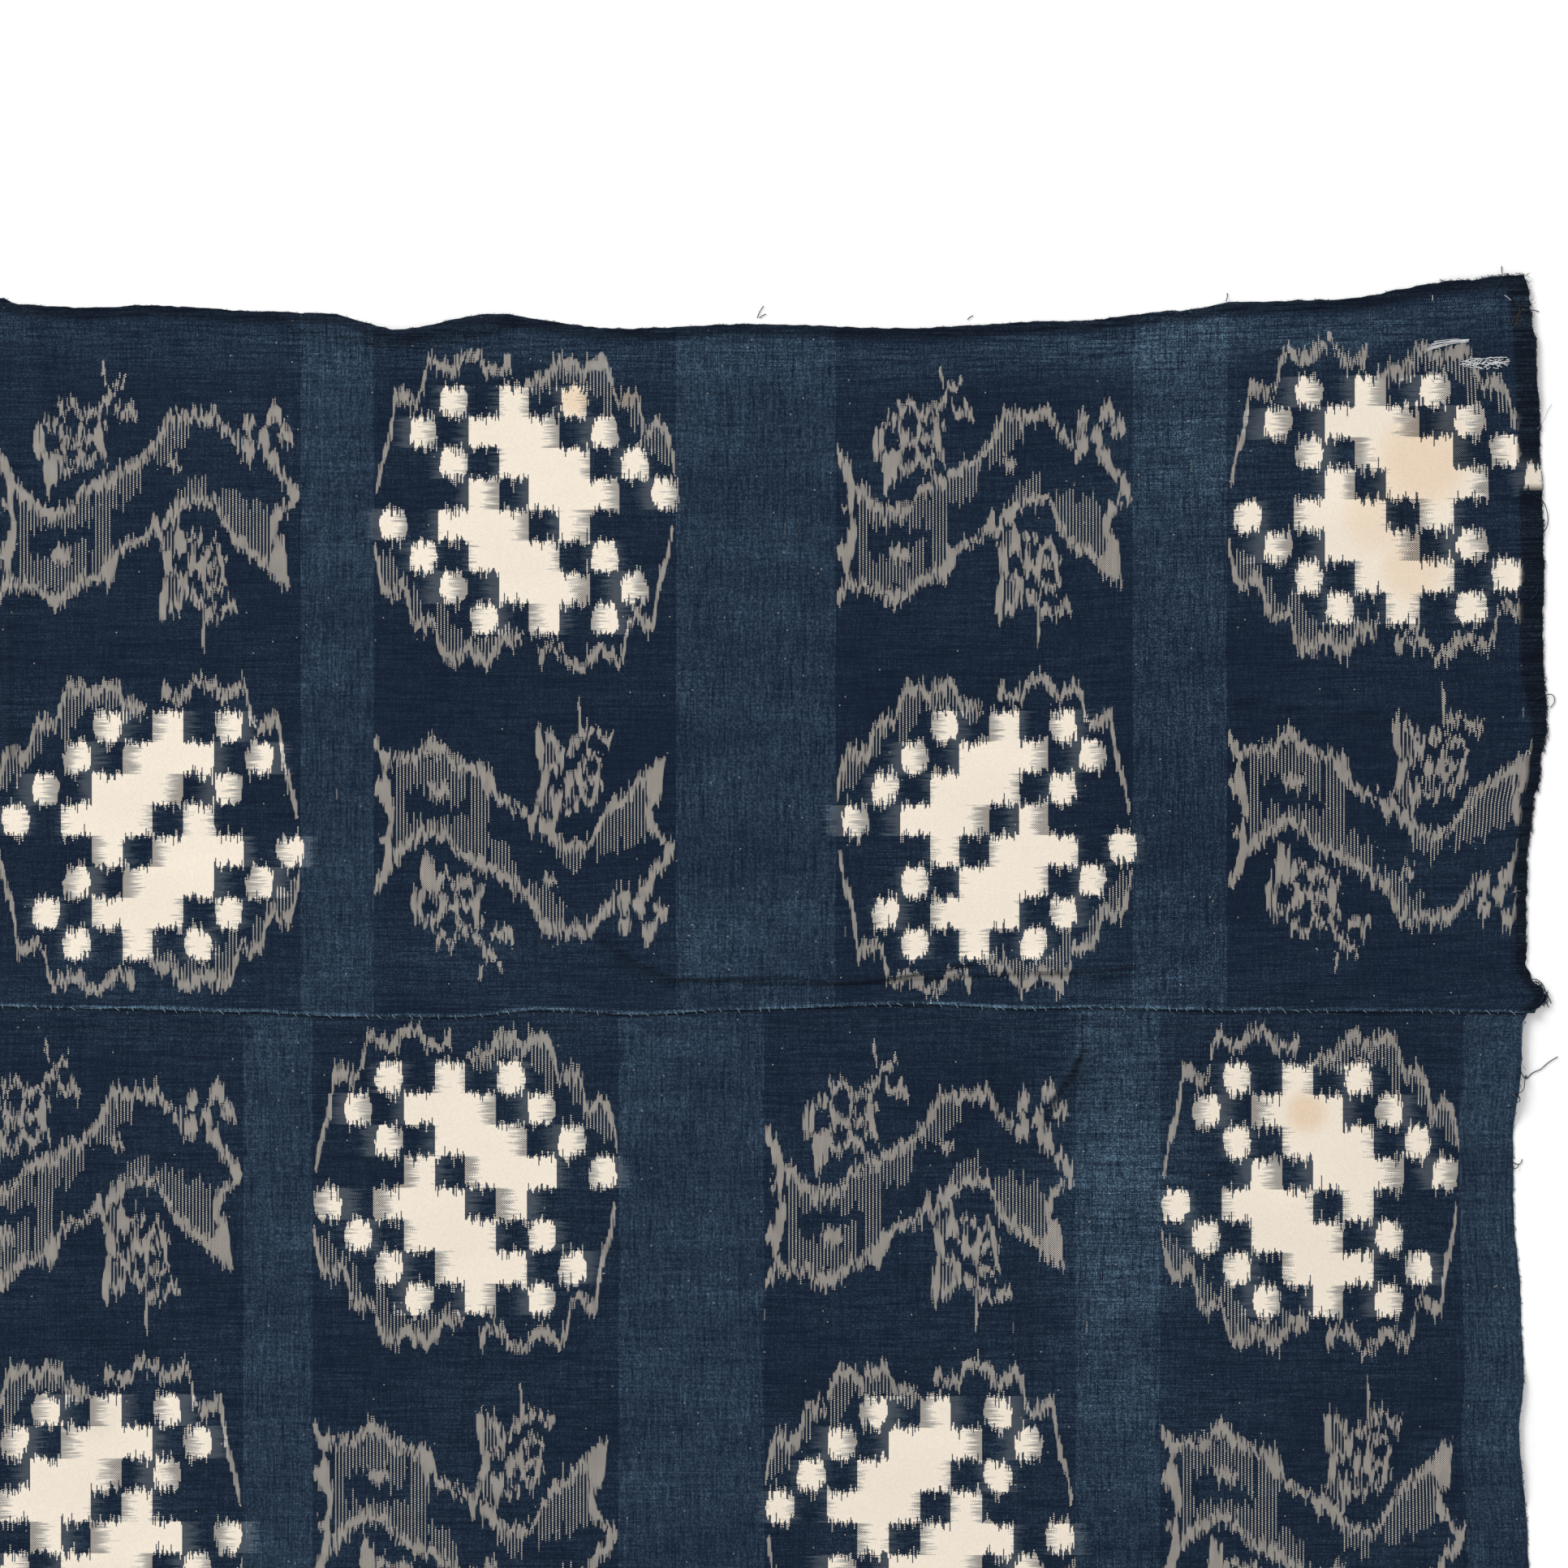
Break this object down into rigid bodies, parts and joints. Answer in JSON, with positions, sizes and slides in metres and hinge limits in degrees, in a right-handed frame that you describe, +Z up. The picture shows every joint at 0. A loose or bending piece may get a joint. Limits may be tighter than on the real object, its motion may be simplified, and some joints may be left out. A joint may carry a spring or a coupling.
{
  "type": "ikat woven cloth",
  "caption": "Flat indigo double-ikat cotton cloth of two loom widths sewn edge to edge, with a turned top edge, a frayed worn end and soft creases.",
  "frame": {"origin": "middle of the cloth's outline, on the surface that it lies on", "axes": "+X along the warp towards the frayed end, +Y along the weft towards the turned top edge, +Z up from the surface"},
  "size_m": [0.9812, 0.6814, 0.0056],
  "materials": {
    "upper_ikat_cotton": "matte hand-woven indigo cotton with undyed ikat figures",
    "lower_ikat_cotton": "matte hand-woven indigo cotton with undyed ikat figures"
  },
  "bodies": {
    "root": {"upper_loom_width": "upper_ikat_cotton", "lower_loom_width": "lower_ikat_cotton"}
  },
  "joints": []
}
